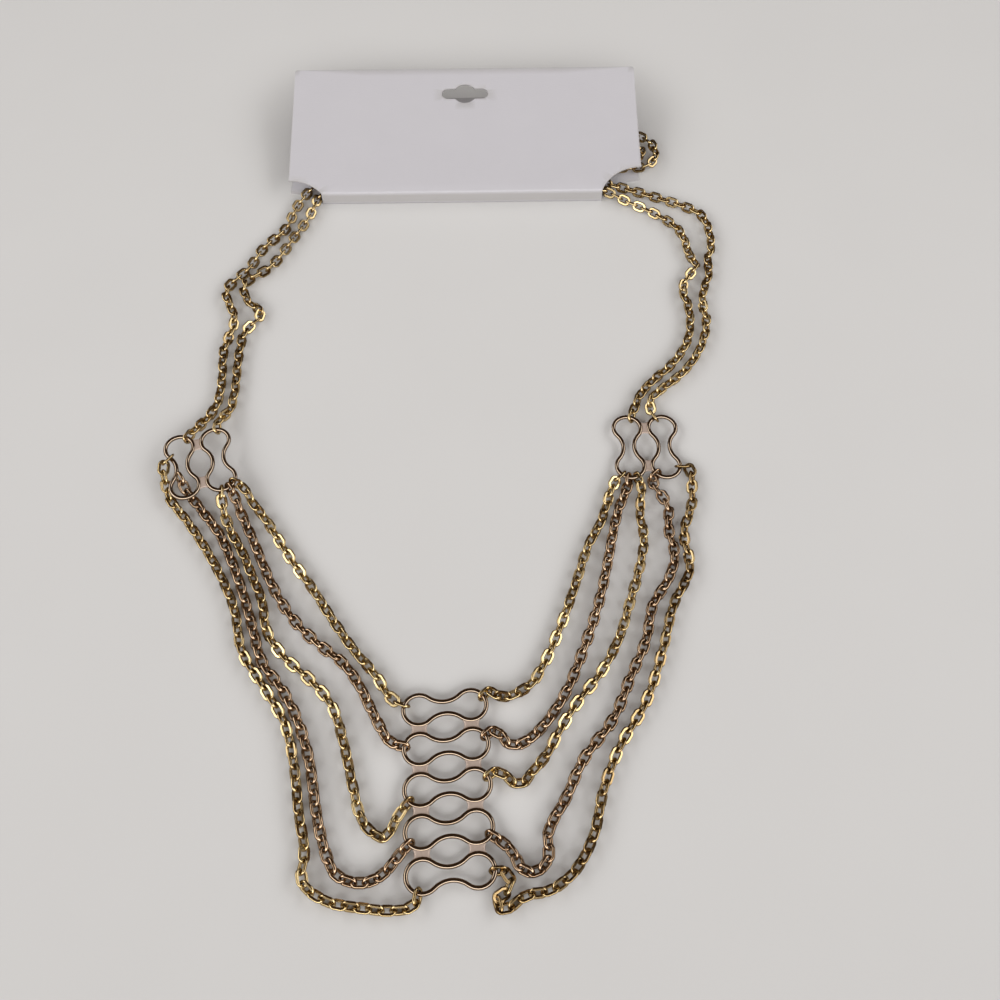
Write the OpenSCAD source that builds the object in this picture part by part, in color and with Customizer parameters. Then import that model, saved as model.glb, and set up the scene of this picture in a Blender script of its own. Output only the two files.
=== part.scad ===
// Multi strand necklace lying on the table with its folded display card.
// X runs to the right, Y away from the wearer's side of the table towards the card, Z up.

/* [Card] */
// Width of the folded card
card_w = 125; // [110:1:140]
// Height of each panel, from the fold to the free edge
card_h = 55; // [45:1:75]
// Thickness of the card
card_t = 0.5; // [0.4:0.1:0.8]
// Height of the narrow strip between the two folds
spine_h = 5.4; // [5:0.1:8]
// Angle to which the front panel springs open
card_open = 9.3; // [4:0.1:20]
// Radius of the round notch punched at each end of the fold
notch_r = 15.3; // [14:0.1:16]
// How far the left notch is centred in front of the fold
left_notch_drop = 9.7; // [8:0.1:11]
// How far the right notch is centred in front of the fold
right_notch_drop = 5.3; // [4:0.1:7]
// Diameter of the hang hole's round middle
hang_d = 8.4; // [7:0.1:10]
// Width of the hang hole from end to end
hang_w = 17; // [14:0.5:24]
// Height of the hang hole's slot
hang_slot = 4.6; // [3:0.1:6]
// Distance from the free edge to the hang hole's centre
hang_margin = 11.6; // [9:0.1:16]

/* [Wire loops] */
// Diameter of the loops' wire
wire_d = 1.25; // [1.1:0.05:1.3]
// Radius of a loop's round lobes, to the middle of the wire
lobe_r = 4.2; // [3.9:0.05:4.6]
// Distance between the centres of a loop's two lobes
lobe_gap = 13.9; // [13:0.1:15]
// Half the width of a loop's waist, to the middle of the wire
waist = 1.65; // [1.3:0.05:2]
// Distance from one soldered loop to the next
loop_pitch = 10.8; // [10.6:0.1:11.6]
// Width of the solder joints between the loops, at their narrowest
solder_w = 3.9; // [3:0.1:4.2]
// Thickness of the solder joints
solder_t = 0.8; // [0.6:0.05:0.9]

/* [Chain] */
// Length of a link
link_l = 5.1; // [4.9:0.05:5.4]
// Width of a link
link_w = 3.7; // [3.65:0.05:3.75]
// Diameter of a link's wire
link_d = 0.92; // [0.8:0.02:0.94]
// Clearance between two links that hang together
link_clear = 0.2; // [0.16:0.01:0.24]
// Width of the plain core that stands for a strand of finer drawn links
core_d = 3.1; // [2.8:0.05:3.15]

/* [Clasp] */
// Length of the clasp's barrel
clasp_l = 9; // [7:0.5:12]
// Diameter of the clasp's barrel
clasp_d = 2.8; // [2.2:0.1:3]
// Radius of the clasp's end rings, to the middle of the wire
clasp_ring_r = 2.4; // [2.2:0.1:2.8]

/* [Layout] */
// Height of the chains' middle line above the table
chain_z = 1.7; // [1.7:0.05:1.9]
// How far the left connector is lifted by the strand that runs under it
left_lift = 2.5; // [2.5:0.1:3.2]

/* [Hidden] */

gold = [0.83, 0.68, 0.4];
pale_gold = [0.86, 0.75, 0.48];
rose_gold = [0.74, 0.55, 0.38];
white_card = [0.93, 0.92, 0.93];

// The spine stops this short of the round notches
notch_inset = 0.3;
// Where the middle of the fold lies, and how the card is turned
card_at = [1.4, 93.2];
card_turn = 1;

// Soldered groups of loops: middle, direction of the loops' long axis, lean of the stack
ladder_at = [0, -117.4];
ladder_turn = 6;
ladder_lean = -2.7;
ladder_rows = 5;
left_at = [-76.6, -19.7];
left_turn = -75;
right_at = [58.3, -12.1];
right_turn = -89;

// Height of the left connector's wire; the other loops lie at the chains' height
left_loop_z = chain_z + left_lift;
// Radius of a solder joint's hollow ends, how far it spreads there, and how far it runs into the wires
solder_bend = 1.9;
solder_flare = 0.6;
solder_lap = 0.4;
clasp_at = [0, 128.5];
inside_z = card_t + chain_z + 0.1;

wire_r = wire_d / 2;
link_r = link_d / 2;
link_arc = (link_w - link_d) / 2;
link_half = (link_l - link_w) / 2;
pitch = link_l - 2 * link_d - link_clear;

// The first joint of a strand lies inside the loop by this much
hook = pitch / 2 - (link_l - link_d) / 2 + wire_r + link_r + link_clear;
// A strand's core starts clear of the loop that its first link would hold
core_clear = 0.25;
// Straight start of a strand, square to the wire that holds it
lead = 2.8;

// Bends that join a loop's lobes at the waist
waist_x = lobe_gap / 2;
waist_r = (waist_x * waist_x + waist * waist - lobe_r * lobe_r) / (2 * (lobe_r - waist));
waist_y = waist + waist_r;
lobe_turn = atan2(waist_y, waist_x);
// Overlap in degrees, and the hair by which the bends are thinner, where arcs are joined
lap = 0.5;
hair = 0.999;

// Smoothness of round parts
wire_sides = 24;
bend_sides = 64;
link_sides = 12;
core_sides = 8;
// Steps between two points of a route, for a row of links and for a plain core
samples = 6;
core_samples = 2;

function along(angle) = [cos(angle), sin(angle)];
function loop_middle(at, turn, lean, row) = at + row * loop_pitch * along(turn + 90 + lean);
function lobe(at, turn, lean, row, side) =
    loop_middle(at, turn, lean, row) + side * waist_x * along(turn);
// A place on or beside a round wire: the wire's centre and radius, an angle, an offset outwards, a height
function beside(centre, r, angle, out, z) = concat(centre + (r + out) * along(angle), z);

// Lobe centres that carry strands, counted from the top of the ladder
function ladder_left(row) = lobe(ladder_at, ladder_turn, ladder_lean, 3 - row, -1);
function ladder_right(row) = lobe(ladder_at, ladder_turn, ladder_lean, 3 - row, 1);
left_outer_top = lobe(left_at, left_turn, 0, -0.5, -1);
left_outer_bottom = lobe(left_at, left_turn, 0, -0.5, 1);
left_inner_top = lobe(left_at, left_turn, 0, 0.5, -1);
left_inner_bottom = lobe(left_at, left_turn, 0, 0.5, 1);
right_inner_top = lobe(right_at, right_turn, 0, -0.5, -1);
right_inner_bottom = lobe(right_at, right_turn, 0, -0.5, 1);
right_outer_top = lobe(right_at, right_turn, 0, 0.5, -1);
right_outer_bottom = lobe(right_at, right_turn, 0, 0.5, 1);
clasp_reach = clasp_l / 2 + clasp_ring_r;
clasp_left = clasp_at - [clasp_reach, 0];
clasp_right = clasp_at + [clasp_reach, 0];

// Each strand's route: the points it passes between its two ends, on the table unless a height is given
LEFT_1 = [
    [-59.8, -32.4, 2.2], [-56, -37], [-51, -44.5], [-46, -52], [-40, -60],
    [-33, -70.5], [-26.5, -79.5], [-20, -87],
];
LEFT_2 = [
    [-63, -35.5, 2.2], [-60.2, -41], [-57, -47.5], [-54, -54], [-49.5, -62.5],
    [-43, -71.5], [-36, -78], [-29, -83.5], [-24, -90.5], [-19.5, -99],
];
LEFT_3 = [
    [-67.3, -37, 2.2], [-64.8, -42.5], [-60.8, -49], [-57.5, -56], [-53.5, -64.5],
    [-51.5, -73], [-46.5, -80.5], [-38.5, -87.5], [-32, -94.5], [-27.5, -106],
    [-24, -118.5], [-20.8, -127], [-16, -130.5],
];
LEFT_4 = [
    [-80.3, -28, 2.3], [-77, -31.8], [-73, -36.8], [-69, -41.8], [-64, -51], [-59, -62.5],
    [-55, -73.5], [-51.5, -83], [-45.5, -90.5], [-40.5, -99], [-36.5, -109.5], [-33, -125],
    [-30.5, -133], [-27, -139.5], [-18.5, -141], [-14.5, -138.3],
];
LEFT_5 = [
    [-86.7, -25.2, 2.2], [-84.5, -31], [-79.5, -37], [-72.5, -46.5], [-66.5, -56], [-61, -67],
    [-57.5, -79.5], [-50, -90.5], [-43.5, -100.5], [-40, -112], [-37.5, -125],
    [-35.3, -134], [-35.5, -141], [-30, -145.2], [-20, -147.2], [-12.5, -147.8],
];
RIGHT_1 = [
    [13.8, -93.2], [16.8, -92.3], [21.5, -89.6], [25.5, -83.3], [30, -73], [35.5, -57.5],
    [39.5, -45.5], [43.2, -38.5], [45.3, -32],
];
RIGHT_2 = [
    [14.1, -103.7], [15.6, -106], [18.2, -106.2], [20.9, -104.9], [24.4, -101.6],
    [31, -92], [36.5, -79], [41, -66],
    [44.5, -52], [47, -40], [49, -33],
];
RIGHT_3 = [
    [15.2, -114.4], [17.3, -116.6], [19.9, -116.2], [21.7, -113.5], [25.2, -109.6],
    [28.5, -103.5], [34.5, -94],
    [40.5, -86.5], [46.5, -75.5], [50.5, -63.5], [54, -52], [55.5, -43], [54.7, -36], [55.3, -31.2],
];
RIGHT_4 = [
    [15.8, -132.8], [17.6, -135.3], [19, -138.2], [21.9, -138.8], [24.8, -137], [26, -134.2],
    [25.3, -130.8], [26.4, -127], [30, -121], [35, -110.5], [44, -98.5], [49, -87], [54, -76], [56.5, -65.5], [61.5, -57.5], [64, -50],
    [62.8, -41], [63.2, -33], [60.8, -28],
];
RIGHT_5 = [
    [16.3, -140.6], [15.6, -143], [13.4, -144.3], [12.2, -146], [13.6, -147.6], [16.2, -147],
    [18.3, -145.1], [21.2, -143.8], [24.8, -143.4], [30.5, -140], [37, -130], [40, -118.5],
    [45, -106.5], [52, -95.5], [58.5, -78.5], [62.5, -65], [68, -54], [67.2, -42],
    [70.5, -32], [71, -25],
];
LEFT_OUTER = [
    [-77.6, -2.5, 2.2], [-75.2, 3.5], [-74.7, 12], [-75.7, 25], [-73.8, 38], [-78, 51],
    [-71.5, 60.5], [-67.8, 69.5], [-61, 78.5], [-58, 89.5], [-54, 97, inside_z],
    [-42, 111, inside_z], [-28, 123, inside_z],
];
LEFT_INNER = [
    [-70.8, 0.8, 2.2], [-70.2, 8], [-70.6, 23], [-69.8, 33], [-65.3, 41], [-70, 45.5],
    [-72.5, 53], [-64.5, 61], [-58, 74], [-53, 85.5], [-50.9, 93, inside_z],
    [-37.5, 108, inside_z], [-22, 120, inside_z],
];
RIGHT_OUTER = [
    [60.6, 5.4], [64.2, 9.4], [72, 16.5], [79, 28], [81.4, 38], [80.7, 45.5], [82, 52],
    [84.3, 58.5], [84.2, 64.8], [85.9, 69], [86.2, 75], [85.6, 81], [83.5, 86.3], [79.5, 89], [70, 93.5], [57, 98.3, inside_z], [48.5, 102, inside_z], [45.5, 105, inside_z],
    [48, 108, inside_z], [58, 108.3, inside_z], [67, 109.7, inside_z], [70, 114, inside_z],
    [69, 121, inside_z], [62, 126.5, inside_z], [50, 130, inside_z], [36, 131, inside_z],
];
RIGHT_INNER = [
    [56.9, 6.2], [61, 12], [68.5, 19.5], [75, 31], [76.1, 38], [75.8, 45], [74.6, 51.5],
    [77.4, 57.6], [80.4, 62], [78.1, 66.5], [77.6, 71.5], [75.5, 78.5], [68.5, 85.6], [58.5, 92], [50.5, 96.8, inside_z], [42.5, 99, inside_z], [39.8, 104, inside_z],
    [42, 109.8, inside_z], [50, 112.2, inside_z], [58, 112.5, inside_z], [65, 115, inside_z],
    [63.5, 121, inside_z], [52, 124.5, inside_z], [38, 126.3, inside_z],
];

function on_table(p) = len(p) > 2 ? p : [p[0], p[1], chain_z];
function reversed(list) = [for (i = [len(list) - 1:-1:0]) list[i]];
// A whole route: both ends are lists that start at the wire that holds them
function route(start, points, finish) =
    concat(start, [for (p = points) on_table(p)], reversed(finish));

function unit(v) = v / norm(v);

// Direction of travel at a point of a route, in which the nearer neighbour counts more
function travel(points, i) =
    let (last = len(points) - 1,
        before = points[max(i, 1)] - points[max(i, 1) - 1],
        after = points[min(i, last - 1) + 1] - points[min(i, last - 1)])
    (unit(before) * norm(after) + unit(after) * norm(before)) / (norm(before) + norm(after));
// A place between two points, reached with the directions of travel given for both
function between(from, to, leave, arrive, t) =
    let (reach = norm(to - from))
    from + (to - from) * t * t * (3 - 2 * t)
        + (leave * (1 - t) - arrive * t) * t * (1 - t) * reach;
// A smooth curve through the points of a route
function smooth(points, steps) = concat(
    [
        for (i = [0:len(points) - 2], k = [0:steps - 1])
            between(points[i], points[i + 1], travel(points, i), travel(points, i + 1), k / steps)
    ],
    [points[len(points) - 1]]);

// Distance along a curve at each of its points
function distances(points) = [
    for (i = 0, s = 0; i < len(points);
        i = i + 1, s = i < len(points) ? s + norm(points[i] - points[i - 1]) : s) s
];
function coordinate(points, lengths, axis) =
    [for (i = [0:len(points) - 1]) [lengths[i], points[i][axis]]];

// Roll of a link: neighbours lean to opposite sides, and the chain twists a little along its length
even_roll = 44;
odd_roll = -45;
roll_swing = 17;
function roll(i, count) =
    (i % 2 == 0 ? even_roll : odd_roll)
        + roll_swing * cos(180 * (count % 2 == 0 ? 3 : 2) * i / (count - 1));

module link() {
    for (end = [0, 180])
        rotate([0, 0, end])
            translate([link_half, 0, 0])
                rotate([0, 0, -90])
                    rotate_extrude(angle = 180, $fn = wire_sides)
                        translate([link_arc, 0])
                            circle(r = link_r, $fn = link_sides + 1);
    for (side = [-1, 1])
        translate([-link_half, side * link_arc, 0])
            rotate([0, 90, 0])
                cylinder(r = link_r, h = 2 * link_half, $fn = link_sides + 1);
}

// Loose links along a route, each turned against the next
module linked_chain(points) {
    curve = smooth(points, samples);
    lengths = distances(curve);
    total = lengths[len(lengths) - 1];
    count = ceil(total / pitch);
    xs = coordinate(curve, lengths, 0);
    ys = coordinate(curve, lengths, 1);
    zs = coordinate(curve, lengths, 2);
    joints = [
        for (i = [0:count])
            [for (axis = [xs, ys, zs]) lookup(total * i / count, axis)]
    ];
    for (i = [0:count - 1]) {
        step = joints[i + 1] - joints[i];
        translate((joints[i] + joints[i + 1]) / 2)
            rotate([roll(i, count), -atan2(step[2], norm([step[0], step[1]])), atan2(step[1], step[0])])
                link();
    }
}

// One closed body along a route, as wide as the chain that lies there
function heading(points, i) =
    let (last = len(points) - 1,
        before = i > 0 ? unit(points[i] - points[i - 1]) : [0, 0, 0],
        after = i < last ? unit(points[i + 1] - points[i]) : [0, 0, 0])
    unit(before + after);
function core_ring(points, i) =
    let (ahead = heading(points, i),
        side = unit([-ahead[1], ahead[0], 0]),
        up = cross(ahead, side))
    [
        for (k = [0:core_sides - 1])
            let (angle = 360 * (k + 0.5) / core_sides)
            points[i] + core_d / 2 * (cos(angle) * side + sin(angle) * up)
    ];

module core(points) {
    curve = smooth(points, core_samples);
    rings = len(curve);
    corners = [for (i = [0:rings - 1]) each core_ring(curve, i)];
    walls = [
        for (i = [0:rings - 2], k = [0:core_sides - 1])
            let (next = (k + 1) % core_sides)
            [
                i * core_sides + k, i * core_sides + next,
                (i + 1) * core_sides + next, (i + 1) * core_sides + k
            ]
    ];
    first = [for (k = [core_sides - 1:-1:0]) k];
    last = [for (k = [0:core_sides - 1]) (rings - 1) * core_sides + k];
    polyhedron(points = corners, faces = concat([first], walls, [last]), convexity = 6);
}

// Round wire bent to an arc that starts on the X axis
module bent_wire(r, angle, d) {
    rotate_extrude(angle = angle, $fn = bend_sides)
        translate([r, 0])
            circle(d = d, $fn = wire_sides);
}

// A figure-of-eight outline with its long axis on X
module wire_loop() {
    for (end = [0, 180])
        rotate([0, 0, end])
            translate([waist_x, 0, 0])
                rotate([0, 0, lobe_turn - 180])
                    bent_wire(lobe_r, 2 * (180 - lobe_turn), wire_d);
    for (side = [0, 180])
        rotate([0, 0, side])
            translate([0, waist_y, 0])
                rotate([0, 0, lobe_turn - 180 - lap])
                    bent_wire(waist_r, 180 - 2 * lobe_turn + 2 * lap, wire_d * hair);
}

// Solder that fills the gap between two lobes, hollow at both ends
module solder_joint() {
    linear_extrude(solder_t, center = true)
        difference() {
            square([loop_pitch - 2 * lobe_r + 2 * solder_lap, solder_w + 2 * solder_flare], center = true);
            for (side = [-1, 1])
                translate([0, side * (solder_w / 2 + solder_bend)])
                    circle(r = solder_bend, $fn = wire_sides);
        }
}

// Loops soldered side by side at both lobes, the first of them lowest
module soldered_loops(at, turn, lean, rows, z) {
    first = -(rows - 1) / 2;
    for (row = [0:rows - 1])
        translate(concat(loop_middle(at, turn, lean, first + row), z))
            rotate([0, 0, turn])
                wire_loop();
    for (row = [0:rows - 2], side = [-1, 1])
        translate(concat(lobe(at, turn, lean, first + row, side), z))
            rotate([0, 0, turn + 90 + lean])
                translate([loop_pitch / 2, 0, 0])
                    solder_joint();
}

module panel_outline() {
    difference() {
        translate([-card_w / 2, 0])
            square([card_w, card_h]);
        translate([-card_w / 2, -left_notch_drop])
            circle(r = notch_r, $fn = bend_sides);
        translate([card_w / 2, -right_notch_drop])
            circle(r = notch_r, $fn = bend_sides);
        translate([0, card_h - hang_margin]) {
            circle(d = hang_d, $fn = bend_sides);
            square([hang_w - hang_slot, hang_slot], center = true);
            for (side = [-1, 1])
                translate([side * (hang_w - hang_slot) / 2, 0])
                    circle(d = hang_slot, $fn = wire_sides);
        }
    }
}

module card() {
    left_cut = sqrt(notch_r * notch_r - left_notch_drop * left_notch_drop);
    right_cut = sqrt(notch_r * notch_r - right_notch_drop * right_notch_drop);
    color(white_card)
        translate(concat(card_at, 0))
            rotate([0, 0, card_turn]) {
                linear_extrude(card_t)
                    panel_outline();
                translate([left_cut + notch_inset - card_w / 2, 0, 0])
                    cube([card_w - left_cut - right_cut - 2 * notch_inset, card_t, spine_h - card_t / 2]);
                translate([0, 0, spine_h])
                    rotate([card_open, 0, 0])
                        translate([0, 0, -card_t])
                            linear_extrude(card_t)
                                panel_outline();
            }
}

module centre_ladder() {
    color(rose_gold)
        soldered_loops(ladder_at, ladder_turn, ladder_lean, ladder_rows, chain_z);
}

module left_connector() {
    color(rose_gold)
        soldered_loops(left_at, left_turn, 0, 2, left_loop_z);
}

module right_connector() {
    color(rose_gold)
        soldered_loops(right_at, right_turn, 0, 2, chain_z);
}

// Barrel with a ring at each end, hidden between the card's panels
module clasp() {
    color(gold)
        translate(concat(clasp_at, inside_z)) {
            translate([-clasp_l / 2, 0, 0])
                rotate([0, 90, 0])
                    cylinder(d = clasp_d, h = clasp_l, $fn = wire_sides);
            for (side = [-1, 1])
                translate([side * clasp_reach, 0, 0])
                    bent_wire(clasp_ring_r, 360, wire_d);
        }
}

// Ends of a strand: where its first link hooks a wire, or where its core stops beside it
function held(centre, r, angle, out, z) =
    [for (d = [out, lead]) beside(centre, r, angle, d, z)];
function hooked(centre, r, angle, z) = held(centre, r, angle, -hook, z);
function stopped(centre, r, angle, z) = held(centre, r, angle, wire_r + core_clear, z);

module left_strand_1() {
    color(pale_gold)
        linked_chain(route(hooked(left_inner_bottom, lobe_r, -22, left_loop_z), LEFT_1,
            hooked(ladder_left(1), lobe_r, 160, chain_z)));
}

module left_strand_2() {
    color(rose_gold)
        linked_chain(route(hooked(left_inner_bottom, lobe_r, -52, left_loop_z), LEFT_2,
            hooked(ladder_left(2), lobe_r, 169, chain_z)));
}

module left_strand_3() {
    color(pale_gold)
        linked_chain(route(hooked(left_inner_bottom, lobe_r, -83, left_loop_z), LEFT_3,
            hooked(ladder_left(3), lobe_r, 228, chain_z)));
}

// This strand starts inside its loop and runs out under the loop's lower end
module left_strand_4() {
    color(rose_gold)
        core(route([beside(left_outer_bottom, lobe_r, 125, -wire_r - 4 * core_clear, left_loop_z)], LEFT_4,
            stopped(ladder_left(4), lobe_r, 225, chain_z)));
}

module left_strand_5() {
    color(pale_gold)
        core(route(stopped(left_outer_top, lobe_r, 236, left_loop_z), LEFT_5,
            stopped(ladder_left(5), lobe_r, 257, chain_z)));
}

module right_strand_1() {
    color(pale_gold)
        linked_chain(route(hooked(ladder_right(1), lobe_r, 38, chain_z), RIGHT_1,
            hooked(right_inner_bottom, lobe_r, -133, chain_z)));
}

module right_strand_2() {
    color(rose_gold)
        linked_chain(route(hooked(ladder_right(2), lobe_r, 34, chain_z), RIGHT_2,
            hooked(right_inner_bottom, lobe_r, -100, chain_z)));
}

module right_strand_3() {
    color(pale_gold)
        linked_chain(route(hooked(ladder_right(3), lobe_r, 32, chain_z), RIGHT_3,
            hooked(right_inner_bottom, lobe_r, -67, chain_z)));
}

module right_strand_4() {
    color(rose_gold)
        core(route(stopped(ladder_right(4), lobe_r, -30, chain_z), RIGHT_4,
            stopped(right_outer_bottom, lobe_r, -134, chain_z)));
}

module right_strand_5() {
    color(pale_gold)
        core(route(stopped(ladder_right(5), lobe_r, -2, chain_z), RIGHT_5,
            stopped(right_outer_bottom, lobe_r, -5, chain_z)));
}

module left_outer_chain() {
    color(pale_gold)
        core(route(stopped(left_outer_top, lobe_r, 62, left_loop_z), LEFT_OUTER,
            stopped(clasp_left, clasp_ring_r, 150, inside_z)));
}

module left_inner_chain() {
    color(pale_gold)
        core(route(stopped(left_inner_top, lobe_r, 90, left_loop_z), LEFT_INNER,
            stopped(clasp_left, clasp_ring_r, 215, inside_z)));
}

module right_outer_chain() {
    color(pale_gold)
        core(route(stopped(right_outer_top, lobe_r, 115, chain_z), RIGHT_OUTER,
            stopped(clasp_right, clasp_ring_r, 35, inside_z)));
}

module right_inner_chain() {
    color(pale_gold)
        core(route(stopped(right_inner_top, lobe_r, 70, chain_z), RIGHT_INNER,
            stopped(clasp_right, clasp_ring_r, -35, inside_z)));
}

card();
centre_ladder();
left_connector();
right_connector();
clasp();
left_strand_1();
left_strand_2();
left_strand_3();
left_strand_4();
left_strand_5();
right_strand_1();
right_strand_2();
right_strand_3();
right_strand_4();
right_strand_5();
left_outer_chain();
left_inner_chain();
right_outer_chain();
right_inner_chain();
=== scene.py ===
"""Multi strand necklace lying open on a pale table, its ends held in a folded display card.

X runs to the right, Y away from the necklace's front towards the card, Z up from the table, in metres.
"""

import logging
import math
from dataclasses import dataclass
from enum import Enum
from typing import Sequence

import bmesh
import bpy
from mathutils import Matrix, Vector


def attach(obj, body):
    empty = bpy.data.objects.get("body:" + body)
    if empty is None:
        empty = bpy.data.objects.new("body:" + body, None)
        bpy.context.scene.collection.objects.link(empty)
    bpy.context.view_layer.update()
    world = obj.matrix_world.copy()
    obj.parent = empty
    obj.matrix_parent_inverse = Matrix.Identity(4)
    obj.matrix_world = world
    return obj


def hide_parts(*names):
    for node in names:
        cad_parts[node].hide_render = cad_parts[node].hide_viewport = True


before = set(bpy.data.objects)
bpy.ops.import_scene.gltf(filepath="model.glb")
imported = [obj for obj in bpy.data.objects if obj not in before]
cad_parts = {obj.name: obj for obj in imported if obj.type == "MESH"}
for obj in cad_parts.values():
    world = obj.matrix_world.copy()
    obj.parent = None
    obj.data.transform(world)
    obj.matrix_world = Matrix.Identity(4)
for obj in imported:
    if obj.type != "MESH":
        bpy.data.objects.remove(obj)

log = logging.getLogger("necklace")

BODY = "root"
TONE = "tone"
RIM = "rim"
SHADED_SPINE = "spine"

Colour = tuple[float, float, float]
Place = tuple[float, ...]

BLACK: Colour = (0.0, 0.0, 0.0)
WHITE: Colour = (1.0, 1.0, 1.0)


class Value:
    """An output socket that can stand in sums with numbers and other sockets."""

    def __init__(self, graph: "Graph", socket: bpy.types.NodeSocket) -> None:
        """Keeps the graph that the socket belongs to, and the socket."""
        self.graph = graph
        self.socket = socket

    def _maths(self, operation: str, first: "Value | float", second: "Value | float") -> "Value":
        """A Math node of two terms."""
        return self.graph.maths(operation, first, second)

    def __add__(self, other: "Value | float") -> "Value":
        """self + other."""
        return self._maths("ADD", self, other)

    def __radd__(self, other: float) -> "Value":
        """other + self."""
        return self._maths("ADD", other, self)

    def __sub__(self, other: "Value | float") -> "Value":
        """self - other."""
        return self._maths("SUBTRACT", self, other)

    def __rsub__(self, other: float) -> "Value":
        """other - self."""
        return self._maths("SUBTRACT", other, self)

    def __mul__(self, other: "Value | float") -> "Value":
        """self * other."""
        return self._maths("MULTIPLY", self, other)

    def __rmul__(self, other: float) -> "Value":
        """other * self."""
        return self._maths("MULTIPLY", other, self)

    def __truediv__(self, other: "Value | float") -> "Value":
        """self / other."""
        return self._maths("DIVIDE", self, other)

    def __mod__(self, other: "Value | float") -> "Value":
        """The remainder of self / other, never below zero."""
        return self._maths("FLOORED_MODULO", self, other)

    def __pow__(self, other: "Value | float") -> "Value":
        """self to the power other."""
        return self._maths("POWER", self, other)


class Graph:
    """A tree of nodes that is written as plain calls."""

    def __init__(self, tree: bpy.types.NodeTree) -> None:
        """Takes over a tree and empties it."""
        self.tree = tree
        tree.nodes.clear()

    def add(self, kind: str, settings: dict | None = None, sockets: dict | None = None) -> bpy.types.Node:
        """Adds one node.

        Args:
            kind: The node's type.
            settings: What is set on the node first. "stops" fills a colour ramp with pairs of
                a place and a colour.
            sockets: Each input's name or number, with its value or the Value that feeds it.

        Returns:
            The new node.
        """
        node = self.tree.nodes.new(kind)
        for name, setting in (settings or {}).items():
            if name == "stops":
                ramp = node.color_ramp.elements
                while len(ramp) < len(setting):
                    ramp.new(1.0)
                for stop, (place, colour) in zip(ramp, setting):
                    stop.position = place
                    stop.color = (*colour, 1.0)
            else:
                setattr(node, name, setting)
        for name, given in (sockets or {}).items():
            if isinstance(given, Value):
                self.tree.links.new(given.socket, node.inputs[name])
            else:
                node.inputs[name].default_value = given
        return node

    def value(self, kind: str, settings: dict | None = None, sockets: dict | None = None,
              output: str | int = 0) -> Value:
        """Adds one node and gives one of its outputs."""
        return Value(self, self.add(kind, settings, sockets).outputs[output])

    def maths(self, operation: str, *terms: Value | float) -> Value:
        """A Math node of one or two terms."""
        return self.value("ShaderNodeMath", {"operation": operation}, dict(enumerate(terms)))

    def attribute(self, name: str) -> Value:
        """A number that is written on the mesh."""
        return self.value("ShaderNodeAttribute", {"attribute_name": name}, output="Fac")

    def part_of(self, vector: Value, axis: str) -> Value:
        """A vector's part on one axis."""
        return self.value("ShaderNodeSeparateXYZ", {}, {0: vector}, axis)

    def vector(self, **axes: Value | float) -> Value:
        """A vector from its parts, which are named X, Y and Z."""
        return self.value("ShaderNodeCombineXYZ", {}, axes)

    def joined(self, *parts: Value) -> Value:
        """Several geometries as one."""
        join = self.add("GeometryNodeJoinGeometry")
        for part in parts:
            self.tree.links.new(part.socket, join.inputs[0])
        return Value(self, join.outputs[0])

    def mixed(self, factor: Value | float, first: Value | Colour, second: Value | Colour) -> Value:
        """A colour between two colours."""
        ends = [c if isinstance(c, Value) else (*c, 1.0) for c in (first, second)]
        return self.value("ShaderNodeMix", {"data_type": "RGBA"}, {0: factor, 6: ends[0], 7: ends[1]}, 2)

    def noise(self, where: Value, size: float, detail: float = 3.0, roughness: float = 0.5) -> Value:
        """Noise whose blots are about size metres across, from 0 to 1."""
        sockets = {"Vector": where, "Scale": 1.0 / size, "Detail": detail, "Roughness": roughness}
        return self.value("ShaderNodeTexNoise", {}, sockets, "Fac")

    def stretched(self, where: Value, by: Place) -> Value:
        """A pattern's place, stretched along its axes."""
        settings = {"operation": "MULTIPLY"}
        return self.value("ShaderNodeVectorMath", settings, {0: where, 1: by})

    def bump(self, height: Value, distance: float, strength: float) -> Value:
        """A surface normal pushed by a height from 0 to 1 that stands for distance metres."""
        sockets = {"Height": height, "Distance": distance, "Strength": strength}
        return self.value("ShaderNodeBump", {}, sockets, "Normal")


def shader_graph(name: str) -> tuple[bpy.types.Material, Graph]:
    """A new material and its empty graph."""
    material = bpy.data.materials.new(name)
    material.use_nodes = True
    return material, Graph(material.node_tree)


def surface(graph: Graph, sockets: dict) -> None:
    """Ends a material's graph with one Principled BSDF."""
    shader = graph.value("ShaderNodeBsdfPrincipled", {}, sockets)
    graph.add("ShaderNodeOutputMaterial", {}, {"Surface": shader})


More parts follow.
